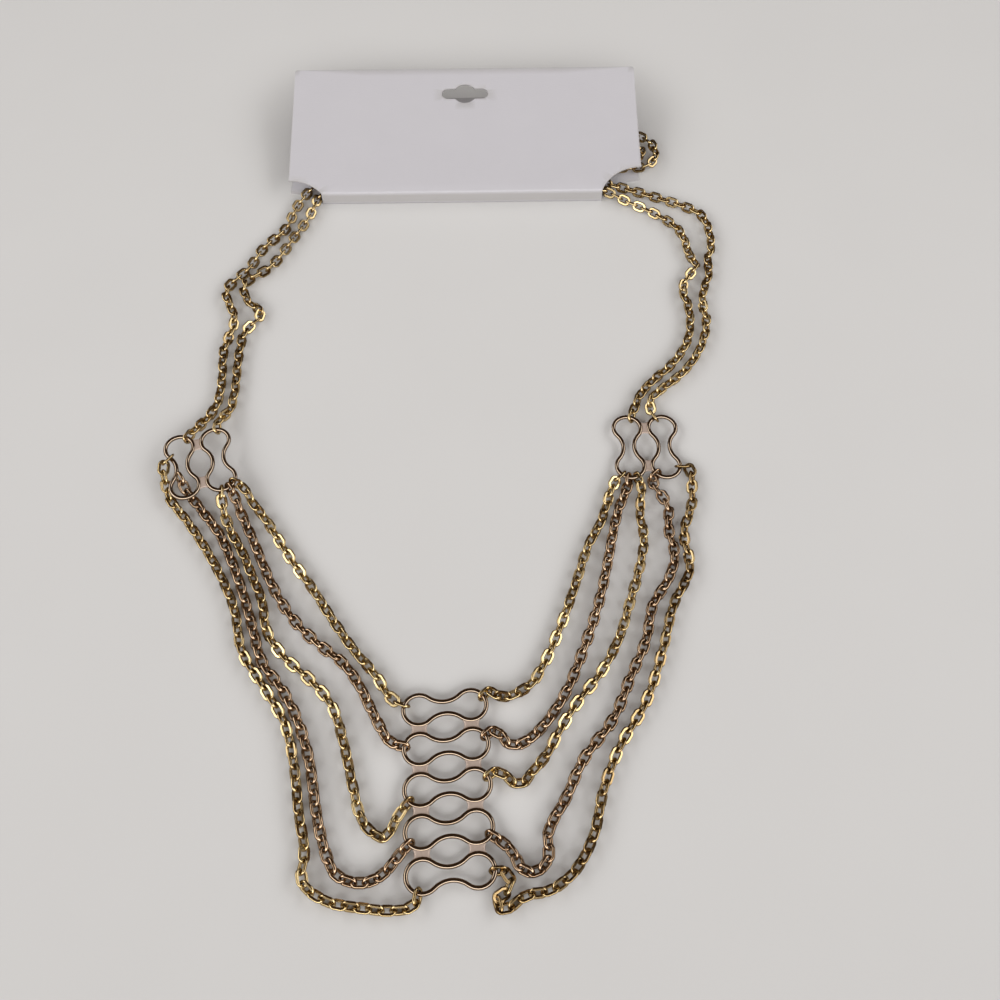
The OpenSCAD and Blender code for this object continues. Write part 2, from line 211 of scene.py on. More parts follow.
@dataclass(frozen=True)
class PlatedMetal:
    """Polished plated brass: warm, a little uneven, darker where the plating is thin."""

    name: str
    slot: str
    bright: Colour
    deep: Colour
    tarnish: Colour
    roughness: float
    blot: float = 0.0035
    grain: float = 0.00035
    uneven: float = 0.1
    relief: float = 0.35
    metal: float = 1.0
    edge: Colour = (0.12, 0.07, 0.04)
    relief_depth: float = 0.00002
    toned: float = 0.75
    thin_from: float = 0.52
    thin_to: float = 0.8
    thin_most: float = 0.45

    def material(self) -> bpy.types.Material:
        """Builds the metal; each ring's own tone comes from the TONE attribute."""
        made, graph = shader_graph(self.name)
        where = graph.value("ShaderNodeTexCoord", output="Object")
        tone = graph.attribute(TONE)
        blots = graph.noise(where, self.blot, 2.0)
        grains = graph.noise(where, self.grain, 2.0, 0.6)
        thin = graph.value("ShaderNodeMapRange", {"clamp": True},
                           {"Value": blots, "From Min": self.thin_from, "From Max": self.thin_to,
                            "To Max": self.thin_most})
        plated = graph.mixed(tone * self.toned + grains * (1 - self.toned), self.deep, self.bright)
        colour = graph.mixed(thin, plated, self.tarnish)
        rough = self.roughness + self.uneven * (grains + thin)
        normal = graph.bump(grains, self.relief_depth, self.relief)
        surface(graph, {"Base Color": colour, "Metallic": self.metal, "Roughness": rough, "Normal": normal,
                        "Specular Tint": (*self.edge, 1.0)})
        return made


@dataclass(frozen=True)
class CardStock:
    """Smooth white card with a faint lilac cast and pressed fibres."""

    name: str
    slot: str
    face: Colour
    shade: Colour
    # Colour of the rubbed cut edges, and also of the painted shade on the spine
    scuff_and_shade: Colour
    fibre: float = 0.0006
    fibre_reach: float = 0.35
    mottle: float = 0.012
    blend: float = 0.6
    wear: float = 1.4
    relief_depth: float = 0.00012
    relief: float = 0.5

    def material(self) -> bpy.types.Material:
        """Builds the card; the RIM attribute is 1 at its cut edges."""
        made, graph = shader_graph(self.name)
        where = graph.value("ShaderNodeTexCoord", output="Object")
        rim = graph.attribute(RIM)
        mottle = graph.noise(where, self.mottle, 3.0)
        fibres = graph.noise(graph.stretched(where, (self.fibre_reach, 1.0, 1.0)), self.fibre, 4.0, 0.65)
        face = graph.mixed(mottle * self.blend + fibres * (1 - self.blend), self.shade, self.face)
        worn = graph.value("ShaderNodeMath", {"operation": "MULTIPLY", "use_clamp": True},
                           {0: rim, 1: fibres * self.wear})
        # Painted shade: the spine strip between the folds is mixed fully to the darker scuff-and-shade
        # colour, standing in for the shade it gets from how the light falls
        sheet = graph.mixed(graph.attribute(SHADED_SPINE), face, self.scuff_and_shade)
        colour = graph.mixed(worn, sheet, self.scuff_and_shade)
        normal = graph.bump(fibres * 0.6 + mottle * 2.0, self.relief_depth, self.relief)
        surface(graph, {"Base Color": colour, "Roughness": 0.5 + 0.15 * fibres, "Normal": normal,
                        "Specular IOR Level": 0.4})
        return made


@dataclass(frozen=True)
class TableTop:
    """Plain pale matt board."""

    name: str
    light: Colour
    dark: Colour
    mottle: float = 0.05
    grain: float = 0.0009
    relief_depth: float = 0.00003
    relief: float = 0.2

    def material(self) -> bpy.types.Material:
        """Builds the board's paint, almost even."""
        made, graph = shader_graph(self.name)
        where = graph.value("ShaderNodeTexCoord", output="Object")
        mottle = graph.noise(where, self.mottle, 2.0)
        grain = graph.noise(where, self.grain, 2.0)
        colour = graph.mixed(mottle * 0.7 + grain * 0.3, self.dark, self.light)
        normal = graph.bump(grain, self.relief_depth, self.relief)
        surface(graph, {"Base Color": colour, "Roughness": 0.55, "Normal": normal,
                        "Specular IOR Level": 0.25})
        return made


class Finish(Enum):
    """The finishes that the pieces are dressed in."""

    FLAT_LINKS = PlatedMetal("pale_gold_flat_links", "flat_links", (0.6, 0.46, 0.24), (0.32, 0.22, 0.105),
                             (0.16, 0.1, 0.04), 0.11)
    ROUND_LINKS = PlatedMetal("rose_brown_round_links", "round_links", (0.44, 0.31, 0.2),
                              (0.24, 0.155, 0.095), (0.12, 0.07, 0.035), 0.09)
    LOOPS = PlatedMetal("rose_brown_loop_wire", "loops", (0.38, 0.3, 0.225), (0.28, 0.205, 0.145),
                        (0.16, 0.1, 0.06), 0.06, blot=0.006, uneven=0.04, relief=0.08)
    SOLDER = PlatedMetal("dull_pink_solder", "loops", (0.5, 0.4, 0.34), (0.4, 0.305, 0.25),
                         (0.28, 0.2, 0.16), 0.34, blot=0.0009, metal=0.3, edge=(1.0, 1.0, 1.0))
    CLASP = PlatedMetal("gold_clasp", "clasp", (0.93, 0.79, 0.5), (0.76, 0.56, 0.28),
                        (0.42, 0.27, 0.12), 0.2)
    CARD = CardStock("white_card_stock", "card", (0.465, 0.45, 0.47), (0.435, 0.42, 0.44),
                     (0.37, 0.355, 0.35))

    def made(self) -> bpy.types.Material:
        """This finish's material, built on first use."""
        return bpy.data.materials.get(self.value.name) or self.value.material()


def keep(piece: bpy.types.Object, finish: Finish, *nodes: str) -> None:
    """Hands a finished piece to the frame.

    Args:
        piece: The object, with its place in its mesh.
        finish: What it is dressed in.
        nodes: The solids that it stands for.
    """
    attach(piece, BODY)
    if nodes:
        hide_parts(*nodes)
    log.info("%s: %d faces, %s", piece.name, len(piece.data.polygons), finish.value.name)


def mesh_object(name: str, corners: Sequence, edges: Sequence = (),
                faces: Sequence = ()) -> bpy.types.Object:
    """A new object at the origin from plain lists."""
    mesh = bpy.data.meshes.new(name)
    mesh.from_pydata([tuple(c) for c in corners], [tuple(e) for e in edges], [tuple(f) for f in faces])
    made = bpy.data.objects.new(name, mesh)
    bpy.context.scene.collection.objects.link(made)
    return made


def evaluated(piece: bpy.types.Object) -> bpy.types.Mesh:
    """The plain mesh that a piece's modifiers make."""
    depsgraph = bpy.context.evaluated_depsgraph_get()
    depsgraph.update()
    return bpy.data.meshes.new_from_object(piece.evaluated_get(depsgraph), depsgraph=depsgraph)


def grown(piece: bpy.types.Object, tree: bpy.types.NodeTree, inputs: dict) -> bpy.types.Object:
    """Runs a geometry tree on a piece and keeps the plain mesh that it makes.

    Args:
        piece: The object that holds the tree's starting mesh.
        tree: The geometry tree.
        inputs: The values of its named inputs.

    Returns:
        The same object, with the made mesh and no modifier.
    """
    modifier = piece.modifiers.new("grown", "NODES")
    modifier.node_group = tree
    names = {item.name: item.identifier for item in tree.interface.items_tree
             if item.item_type == "SOCKET" and item.in_out == "INPUT"}
    for name, given in inputs.items():
        modifier[names[name]] = given
    piece.update_tag()
    mesh = evaluated(piece)
    piece.modifiers.remove(modifier)
    plain = piece.data
    piece.data = mesh
    bpy.data.meshes.remove(plain)
    mesh.name = piece.name
    return piece


def geometry_tree(name: str, inputs: dict[str, str]) -> tuple[Graph, dict[str, Value]]:
    """A geometry tree with named inputs after its geometry.

    Args:
        name: The tree's name.
        inputs: The type of each named input.

    Returns:
        The graph, and the Value of each input by name.
    """
    tree = bpy.data.node_groups.new(name, "GeometryNodeTree")
    tree.interface.new_socket("Geometry", in_out="INPUT", socket_type="NodeSocketGeometry")
    for label, kind in inputs.items():
        tree.interface.new_socket(label, in_out="INPUT", socket_type="NodeSocket" + kind)
    tree.interface.new_socket("Geometry", in_out="OUTPUT", socket_type="NodeSocketGeometry")
    graph = Graph(tree)
    entry = graph.add("NodeGroupInput")
    return graph, {socket.name: Value(graph, socket) for socket in entry.outputs if socket.name}


def dressed(graph: Graph, geometry: Value, material: Value) -> Value:
    """Plain geometry in one material."""
    plain = graph.value("GeometryNodeRealizeInstances", {}, {0: geometry})
    return graph.value("GeometryNodeSetMaterial", {}, {"Geometry": plain, "Material": material})


def curve_on(points: Sequence[Place], low: float, steps: int) -> list[Vector]:
    """A smooth curve through a route's points.

    Args:
        points: Places on the route; those without a height lie at height low.
        low: The height of the chains' middle line on the table.
        steps: Steps between two points.

    Returns:
        The curve's points.
    """
    spots = [Vector(p if len(p) > 2 else (p[0], p[1], low)) for p in points]
    last = len(spots) - 1

    def travel(i: int) -> Vector:
        """Direction of travel at a point, in which the nearer neighbour counts more."""
        before = spots[max(i, 1)] - spots[max(i, 1) - 1]
        after = spots[min(i, last - 1) + 1] - spots[min(i, last - 1)]
        whole = before.length + after.length
        return (before.normalized() * after.length + after.normalized() * before.length) / whole

    curve = []
    for i in range(last):
        start, end = spots[i], spots[i + 1]
        leave, arrive = travel(i), travel(i + 1)
        reach = (end - start).length
        for step in range(steps):
            t = step / steps
            bend = (leave * (1 - t) - arrive * t) * t * (1 - t) * reach
            curve.append(start + (end - start) * t * t * (3 - 2 * t) + bend)
    return curve + [spots[last]]


def along(angle: float) -> Vector:
    """The flat direction at an angle in degrees."""
    return Vector((math.cos(math.radians(angle)), math.sin(math.radians(angle))))


@dataclass(frozen=True)
class LoopWire:
    """A figure-of-eight loop of round wire."""

    wire_d: float = 0.00125
    lobe_r: float = 0.0042
    lobe_gap: float = 0.0139
    waist: float = 0.00165
    pitch: float = 0.0108
    solder_w: float = 0.0039
    solder_t: float = 0.0008
    solder_bend: float = 0.0019

    def outline(self, steps: int = 22) -> list[Vector]:
        """The middle line of the wire with its long axis on X, each arc in steps."""
        reach = self.lobe_gap / 2
        waist_r = (reach ** 2 + self.waist ** 2 - self.lobe_r ** 2) / (2 * (self.lobe_r - self.waist))
        waist_y = self.waist + waist_r
        turn = math.atan2(waist_y, reach)
        arcs = [
            ((reach, 0.0), self.lobe_r, turn - math.pi, math.pi - turn),
            ((0.0, waist_y), waist_r, -turn, turn - math.pi),
            ((-reach, 0.0), self.lobe_r, turn, math.tau - turn),
            ((0.0, -waist_y), waist_r, math.pi - turn, turn),
        ]
        line = []
        for (x, y), r, start, end in arcs:
            for step in range(steps):
                angle = start + (end - start) * step / steps
                line.append(Vector((x + r * math.cos(angle), y + r * math.sin(angle), 0.0)))
        return line


@dataclass(frozen=True)
class LoopGroup:
    """Loops soldered side by side at both lobes: where they lie and how they are turned."""

    name: str
    node: str
    at: Place
    turn: float
    lean: float
    rows: int
    z: float
    wire: LoopWire = LoopWire()

    def middle(self, row: float) -> Vector:
        """The middle of the loop that is row loops away from the group's middle."""
        return Vector(self.at) + row * self.wire.pitch * along(self.turn + 90 + self.lean)

    def lobe(self, row: float, side: int) -> Vector:
        """The centre of a lobe."""
        return self.middle(row) + side * self.wire.lobe_gap / 2 * along(self.turn)

    def held(self, row: float, side: int, angle: float, outs: Sequence[float],
             drop: float = 0.0) -> list[Place]:
        """Places beside a lobe's wire, one for each offset outwards, at the wire's height or below."""
        centre = self.lobe(row, side)
        return [(*(centre + (self.wire.lobe_r + out) * along(angle)), self.z - drop) for out in outs]

    def build(self, tree: bpy.types.NodeTree) -> None:
        """Bends the wires, sets the solder between them and dresses both."""
        line = self.wire.outline()
        edges = [(i, (i + 1) % len(line)) for i in range(len(line))]
        piece = mesh_object(self.name, line, edges)
        step = self.wire.pitch * along(90 + self.lean)
        first = -(self.rows - 1) / 2 * step
        grown(piece, tree, {
            "Rows": self.rows, "First": (*first, 0.0), "Step": (*step, 0.0),
            "Reach": self.wire.lobe_gap / 2, "Lobe Radius": self.wire.lobe_r,
            "Wire Radius": self.wire.wire_d / 2, "Solder Width": self.wire.solder_w,
            "Solder Thickness": self.wire.solder_t, "Solder Bend": self.wire.solder_bend,
            "Lean": math.radians(90 + self.lean),
            "Wire Finish": Finish.LOOPS.made(), "Solder Finish": Finish.SOLDER.made()})
        turned = Matrix.Translation((*self.at, self.z)) @ Matrix.Rotation(math.radians(self.turn), 4, "Z")
        piece.data.transform(turned)
        keep(piece, Finish.LOOPS, self.node)


# How far the solder reaches into the wires
SOLDER_LAP = 0.0004
# The thickness of the solder's middle, for 1 at its ends
SOLDER_MIDDLE = 0.72
# Points of the solder's two halves that are this near are one
TOUCHING = 0.000002
# The tone of the loops' wire and solder
LOOP_TONE = 0.6


def loop_tree() -> bpy.types.NodeTree:
    """Wire bent along the given outline, repeated in rows, with a solder joint between the lobes."""
    graph, given = geometry_tree("soldered_loops", {
        "Rows": "Int", "First": "Vector", "Step": "Vector", "Reach": "Float", "Lobe Radius": "Float",
        "Wire Radius": "Float", "Solder Width": "Float", "Solder Thickness": "Float",
        "Solder Bend": "Float", "Lean": "Float", "Wire Finish": "Material", "Solder Finish": "Material"})
    outline = graph.value("GeometryNodeMeshToCurve", {}, {0: given["Geometry"]})
    section = graph.value("GeometryNodeCurvePrimitiveCircle", {},
                          {"Resolution": 16, "Radius": given["Wire Radius"]})
    wire = graph.value("GeometryNodeCurveToMesh", {}, {"Curve": outline, "Profile Curve": section})
    line = {"Start Location": given["First"], "Offset": given["Step"]}
    rows = graph.value("GeometryNodeMeshLine", {}, {"Count": given["Rows"], **line})
    loops = graph.value("GeometryNodeInstanceOnPoints", {}, {"Points": rows, "Instance": wire})
    wires = dressed(graph, loops, given["Wire Finish"])

    # A joint fills the gap between two wires, hollow at both ends and a little sunk in its middle
    gap = graph.value("ShaderNodeVectorMath", {"operation": "LENGTH"}, {0: given["Step"]}, "Value")
    reach = gap / 2 - given["Lobe Radius"] + SOLDER_LAP
    flat = graph.value("GeometryNodeMeshGrid", {},
                       {"Size X": 2.0, "Size Y": 2.0, "Vertices X": 9, "Vertices Y": 19})
    place = graph.value("GeometryNodeInputPosition")
    over, across = graph.part_of(place, "X"), graph.part_of(place, "Y")
    bend = given["Solder Bend"]
    depth = over * reach
    hollow = given["Solder Width"] / 2 + bend - (bend * bend - depth * depth) ** 0.5
    rounding = ((1.0 - (across * across) ** 3.0) * (1.0 - (over * over) ** 4.0)) ** 0.5
    sunk = SOLDER_MIDDLE + (1.0 - SOLDER_MIDDLE) * over * over
    height = given["Solder Thickness"] / 2 * rounding * sunk
    halves = []
    for up in (1.0, -1.0):
        spot = graph.vector(X=depth + gap / 2, Y=across * hollow, Z=up * height)
        half = graph.value("GeometryNodeSetPosition", {}, {"Geometry": flat, "Position": spot})
        halves.append(half if up > 0 else graph.value("GeometryNodeFlipFaces", {}, {0: half}))
    neck = graph.value("GeometryNodeMergeByDistance", {}, {0: graph.joined(*halves), "Distance": TOUCHING})
    laid = graph.value("FunctionNodeEulerToRotation", {}, {"Euler": graph.vector(Z=given["Lean"])})
    spots = graph.value("GeometryNodeMeshLine", {}, {"Count": given["Rows"] - 1.0, **line})
    joints = []
    for side in (-1, 1):
        moved = graph.value("GeometryNodeSetPosition", {},
                            {"Geometry": spots, "Offset": graph.vector(X=side * given["Reach"])})
        joints.append(graph.value("GeometryNodeInstanceOnPoints", {},
                                  {"Points": moved, "Instance": neck, "Rotation": laid}))
    solder = dressed(graph, graph.joined(*joints), given["Solder Finish"])
    toned = graph.value("GeometryNodeStoreNamedAttribute", {"domain": "POINT"},
                        {"Geometry": graph.joined(wires, solder), "Name": TONE, "Value": LOOP_TONE})
    smooth = graph.value("GeometryNodeSetShadeSmooth", {}, {0: toned})
    graph.add("NodeGroupOutput", {}, {0: smooth})
    return graph.tree


@dataclass(frozen=True)
class Link:
    """One oval ring of a chain; a flat ring is rolled wider and thinner than its wire was."""

    length: float = 0.0051
    width: float = 0.0037
    wire: float = 0.00092
    clearance: float = 0.0002
    band: float = 0.00092
    thickness: float = 0.00092

    @property
    def pitch(self) -> float:
        """Distance from one ring to the next."""
        return self.length - 2 * self.wire - self.clearance

    def hook(self, wire_r: float) -> float:
        """How far inside a loop's wire the first joint of a strand lies."""
        return self.pitch / 2 - (self.length - self.wire) / 2 + wire_r + self.wire / 2 + self.clearance


FLAT_LINK = Link(band=0.00104, thickness=0.00072)
ROUND_LINK = Link()


def chain_tree() -> bpy.types.NodeTree:
    """Rings linked along the given line, each turned against the next, with a tone of its own."""
    graph, given = geometry_tree("linked_chain", {
        "Count": "Int", "Length": "Float", "Width": "Float", "Band": "Float", "Thickness": "Float",
        "Flatness": "Float", "First Roll": "Float", "Second Roll": "Float", "Swing": "Float",
        "Turns": "Float", "Wobble": "Float", "Seed": "Int", "Tone": "Float", "Finish": "Material"})

    # The ring: a circle drawn out to an oval, swept by a six-sided section
    arc = (given["Width"] - given["Band"]) / 2
    half = (given["Length"] - given["Width"]) / 2
    circle = graph.value("GeometryNodeCurvePrimitiveCircle", {}, {"Resolution": 14, "Radius": arc})
    sign = graph.maths("SIGN", graph.part_of(graph.value("GeometryNodeInputPosition"), "X"))
    pull = graph.vector(X=sign * half)
    oval = graph.value("GeometryNodeSetPosition", {}, {"Geometry": circle, "Offset": pull})
    hexagon = graph.value("GeometryNodeCurvePrimitiveCircle", {}, {"Resolution": 6, "Radius": 0.5})
    size = graph.vector(X=given["Band"], Y=given["Thickness"] / math.cos(math.radians(30)), Z=1.0)
    section = graph.value("GeometryNodeTransform", {}, {"Geometry": hexagon, "Scale": size})
    ring = graph.value("GeometryNodeCurveToMesh", {}, {"Curve": oval, "Profile Curve": section})
    facing = graph.part_of(graph.value("GeometryNodeInputNormal"), "Z")
    rounded = graph.maths("LESS_THAN", graph.maths("ABSOLUTE", facing), given["Flatness"])
    for comparison, smooth in (("GREATER_THAN", True), ("LESS_THAN", False)):
        chosen = graph.value("FunctionNodeCompare", {"operation": comparison}, {0: rounded, 1: 0.5})
        ring = graph.value("GeometryNodeSetShadeSmooth", {"domain": "FACE"},
                           {0: ring, "Selection": chosen, "Shade Smooth": smooth})

    # Joints at equal distances; a ring lies in the middle between two
    line = graph.value("GeometryNodeMeshToCurve", {}, {0: given["Geometry"]})
    joints = graph.value("GeometryNodeResampleCurve", {}, {"Curve": line, "Count": given["Count"] + 1})
    rail = graph.value("GeometryNodeCurveToMesh", {}, {"Curve": joints})
    ends = graph.add("GeometryNodeInputMeshEdgeVertices")
    chord = graph.value("ShaderNodeVectorMath", {"operation": "SUBTRACT"},
                        {0: Value(graph, ends.outputs["Position 2"]),
                         1: Value(graph, ends.outputs["Position 1"])})
    marked = graph.value("GeometryNodeStoreNamedAttribute", {"domain": "EDGE", "data_type": "FLOAT_VECTOR"},
                         {"Geometry": rail, "Name": "chord", "Value": chord})
    middles = graph.value("GeometryNodeMeshToPoints", {"mode": "EDGES"}, {"Mesh": marked})
    ahead = graph.value("GeometryNodeInputNamedAttribute", {"data_type": "FLOAT_VECTOR"},
                        {"Name": "chord"})
    level = graph.value("FunctionNodeAlignRotationToVector", {"axis": "X"}, {"Vector": ahead})
    upright = graph.value("FunctionNodeAlignRotationToVector", {"axis": "Z", "pivot_axis": "X"},
                          {"Rotation": level, "Vector": (0.0, 0.0, 1.0)})

    index = graph.value("GeometryNodeInputIndex")
    odd = index % 2.0
    phase = given["Turns"] * math.pi * index / (given["Count"] - 1)
    swing = given["Swing"] * graph.maths("COSINE", phase)
    shake = graph.value("FunctionNodeRandomValue", {"data_type": "FLOAT"},
                        {2: -1.0, 3: 1.0, "ID": index, "Seed": given["Seed"]}, 1)
    roll = given["First Roll"] * (1 - odd) + given["Second Roll"] * odd + swing + given["Wobble"] * shake
    turn = graph.value("FunctionNodeAxisAngleToRotation", {}, {"Axis": (1.0, 0.0, 0.0), "Angle": roll})
    turned = graph.value("FunctionNodeRotateRotation", {"rotation_space": "LOCAL"},
                         {"Rotation": upright, "Rotate By": turn})
    chain = graph.value("GeometryNodeInstanceOnPoints", {},
                        {"Points": middles, "Instance": ring, "Rotation": turned})
    tone = graph.value("FunctionNodeRandomValue", {"data_type": "FLOAT"},
                       {2: 0.0, 3: 1.0, "ID": index, "Seed": given["Seed"] + 7}, 1)
    toned = graph.value("GeometryNodeStoreNamedAttribute", {"domain": "INSTANCE"},
                        {"Geometry": chain, "Name": TONE, "Value": tone + given["Tone"]})
    graph.add("NodeGroupOutput", {}, {0: dressed(graph, toned, given["Finish"])})
    return graph.tree


@dataclass(frozen=True)
class Strand:
    """One chain of rings along its route, from the wire that holds it to the next."""

    node: str
    route: Sequence[Place]
    link: Link
    finish: Finish
    low: float
    seed: int
    lay: tuple[float, float] = (44.0, -45.0)
    swing: float = 17.0
    wobble: float = 2.0
    tone: float = 0.0
    steps: int = 12

    def build(self, tree: bpy.types.NodeTree) -> None:
        """Links the rings and dresses them."""
        curve = curve_on(self.route, self.low, self.steps)
        total = sum((b - a).length for a, b in zip(curve, curve[1:]))
        count = math.ceil(total / self.link.pitch)
        piece = mesh_object(self.node + "_links", curve, [(i, i + 1) for i in range(len(curve) - 1)])
        grown(piece, tree, {
            "Count": count, "Length": self.link.length, "Width": self.link.width,
            "Band": self.link.band, "Thickness": self.link.thickness,
            "Flatness": 0.9 if self.link.thickness < self.link.band else 2.0,
            "First Roll": math.radians(self.lay[0]), "Second Roll": math.radians(self.lay[1]),
            "Swing": math.radians(self.swing), "Turns": 3.0 if count % 2 == 0 else 2.0,
            "Wobble": math.radians(self.wobble), "Seed": self.seed, "Tone": self.tone,
            "Finish": self.finish.made()})
        keep(piece, self.finish, self.node)
        log.info("%s: %d rings over %.1f mm", self.node, count, total * 1000)


# The height of the chains' middle line inside the card
IN = 0.0023
# Each strand's route: the points it passes between its two ends, on the table unless a height is given
ROUTES: dict[str, list[Place]] = {
    "left_strand_1": [
        (-0.0598, -0.0324, 0.0022), (-0.056, -0.037), (-0.051, -0.0445), (-0.046, -0.052), (-0.04, -0.06),
        (-0.033, -0.0705), (-0.0265, -0.0795), (-0.02, -0.087)],
    "left_strand_2": [
        (-0.063, -0.0355, 0.0022), (-0.0602, -0.041), (-0.057, -0.0475), (-0.054, -0.054),
        (-0.0495, -0.0625), (-0.043, -0.0715), (-0.036, -0.078), (-0.029, -0.0835), (-0.024, -0.0905),
        (-0.0195, -0.099)],
    "left_strand_3": [
        (-0.0673, -0.037, 0.0022), (-0.0648, -0.0425), (-0.0608, -0.049), (-0.0575, -0.056),
        (-0.0535, -0.0645), (-0.0515, -0.073), (-0.0465, -0.0805), (-0.0385, -0.0875), (-0.032, -0.0945),
        (-0.0275, -0.106), (-0.024, -0.1185), (-0.0208, -0.127), (-0.016, -0.1305)],
    "left_strand_4": [
        (-0.0803, -0.028, 0.0023), (-0.077, -0.0318), (-0.073, -0.0368), (-0.069, -0.0418),
        (-0.064, -0.051), (-0.059, -0.0625), (-0.055, -0.0735), (-0.0515, -0.083), (-0.0455, -0.0905),
        (-0.0405, -0.099), (-0.0365, -0.1095), (-0.033, -0.125), (-0.0305, -0.133), (-0.027, -0.1395),
        (-0.0185, -0.141), (-0.0145, -0.1383)],
    "left_strand_5": [
        (-0.0867, -0.0252, 0.0022), (-0.0845, -0.031), (-0.0795, -0.037), (-0.0725, -0.0465),
        (-0.0665, -0.056), (-0.061, -0.067), (-0.0575, -0.0795), (-0.05, -0.0905), (-0.0435, -0.1005),
        (-0.04, -0.112), (-0.0375, -0.125), (-0.0353, -0.134), (-0.0355, -0.141), (-0.03, -0.1452),
        (-0.02, -0.1472), (-0.0125, -0.1478)],
    "right_strand_1": [
        (0.0138, -0.0932), (0.0168, -0.0923), (0.0215, -0.0896), (0.0255, -0.0833), (0.03, -0.073),
        (0.0355, -0.0575), (0.0395, -0.0455), (0.0432, -0.0385), (0.0453, -0.032)],
    "right_strand_2": [
        (0.0141, -0.1037), (0.0156, -0.106), (0.0182, -0.1062), (0.0209, -0.1049), (0.0244, -0.1016),
        (0.031, -0.092), (0.0365, -0.079), (0.041, -0.066), (0.0445, -0.052), (0.047, -0.04),
        (0.049, -0.033)],
    "right_strand_3": [
        (0.0152, -0.1144), (0.0173, -0.1166), (0.0199, -0.1162), (0.0217, -0.1135), (0.0252, -0.1096),
        (0.0285, -0.1035), (0.0345, -0.094), (0.0405, -0.0865), (0.0465, -0.0755), (0.0505, -0.0635),
        (0.054, -0.052), (0.0555, -0.043), (0.0547, -0.036), (0.0553, -0.0312)],
    "right_strand_4": [
        (0.0158, -0.1328), (0.0176, -0.1353), (0.019, -0.1382), (0.0219, -0.1388), (0.0248, -0.137),
        (0.026, -0.1342), (0.0253, -0.1308), (0.0264, -0.127), (0.03, -0.121), (0.035, -0.1105),
        (0.044, -0.0985), (0.049, -0.087), (0.054, -0.076), (0.0565, -0.0655), (0.0615, -0.0575),
        (0.064, -0.05), (0.0628, -0.041), (0.0632, -0.033), (0.0608, -0.028)],
    "right_strand_5": [
        (0.0163, -0.1406), (0.0156, -0.143), (0.0134, -0.1443), (0.0122, -0.146), (0.0136, -0.1476),
        (0.0162, -0.147), (0.0183, -0.1451), (0.0212, -0.1438), (0.0248, -0.1434), (0.0305, -0.14),
        (0.037, -0.13), (0.04, -0.1185), (0.045, -0.1065), (0.052, -0.0955), (0.0585, -0.0785),
        (0.0625, -0.065), (0.068, -0.054), (0.0672, -0.042), (0.0705, -0.032), (0.071, -0.025)],
    "left_outer_chain": [
        (-0.0776, -0.0025, 0.0022), (-0.0752, 0.0035), (-0.0747, 0.012), (-0.0757, 0.025), (-0.0738, 0.038),
        (-0.078, 0.051), (-0.0715, 0.0605), (-0.0678, 0.0695), (-0.061, 0.0785), (-0.058, 0.0895),
        (-0.054, 0.097, IN), (-0.042, 0.111, IN), (-0.028, 0.123, IN)],
    "left_inner_chain": [
        (-0.0708, 0.0008, 0.0022), (-0.0702, 0.008), (-0.0706, 0.023), (-0.0698, 0.033), (-0.0653, 0.041),
        (-0.07, 0.0455), (-0.0725, 0.053), (-0.0645, 0.061), (-0.058, 0.074), (-0.053, 0.0855),
        (-0.0509, 0.093, IN), (-0.0375, 0.108, IN), (-0.022, 0.12, IN)],
    "right_outer_chain": [
        (0.0606, 0.0054), (0.0642, 0.0094), (0.072, 0.0165), (0.079, 0.028), (0.0814, 0.038),
        (0.0807, 0.0455), (0.082, 0.052), (0.0843, 0.0585), (0.0842, 0.0648), (0.0859, 0.069),
        (0.0862, 0.075), (0.0856, 0.081), (0.0835, 0.0863), (0.0795, 0.089), (0.07, 0.0935),
        (0.057, 0.0983, IN), (0.0485, 0.102, IN), (0.0455, 0.105, IN), (0.048, 0.108, IN),
        (0.058, 0.1083, IN), (0.067, 0.1097, IN), (0.07, 0.114, IN), (0.069, 0.121, IN),
        (0.062, 0.1265, IN), (0.05, 0.13, IN), (0.036, 0.131, IN)],
    "right_inner_chain": [
        (0.0569, 0.0062), (0.061, 0.012), (0.0685, 0.0195), (0.075, 0.031), (0.0761, 0.038),
        (0.0758, 0.045), (0.0746, 0.0515), (0.0774, 0.0576), (0.0804, 0.062), (0.0781, 0.0665),
        (0.0776, 0.0715), (0.0755, 0.0785), (0.0685, 0.0856), (0.0585, 0.092), (0.0505, 0.0968, IN),
        (0.0425, 0.099, IN), (0.0398, 0.104, IN), (0.042, 0.1098, IN), (0.05, 0.1122, IN),
        (0.058, 0.1125, IN), (0.065, 0.115, IN), (0.0635, 0.121, IN), (0.052, 0.1245, IN),
        (0.038, 0.1263, IN)],
}


# How much brighter or darker than the rest a strand's plating is
TONES = {"left_strand_1": 0.5, "left_strand_2": 0.35, "left_strand_3": 0.35, "left_strand_4": 0.3,
         "left_strand_5": 0.15, "right_strand_1": 0.2, "right_strand_2": 0.15, "right_strand_4": -0.1,
         "right_strand_5": -0.5, "left_inner_chain": 0.1, "right_outer_chain": 0.3, "right_inner_chain": 0.3}


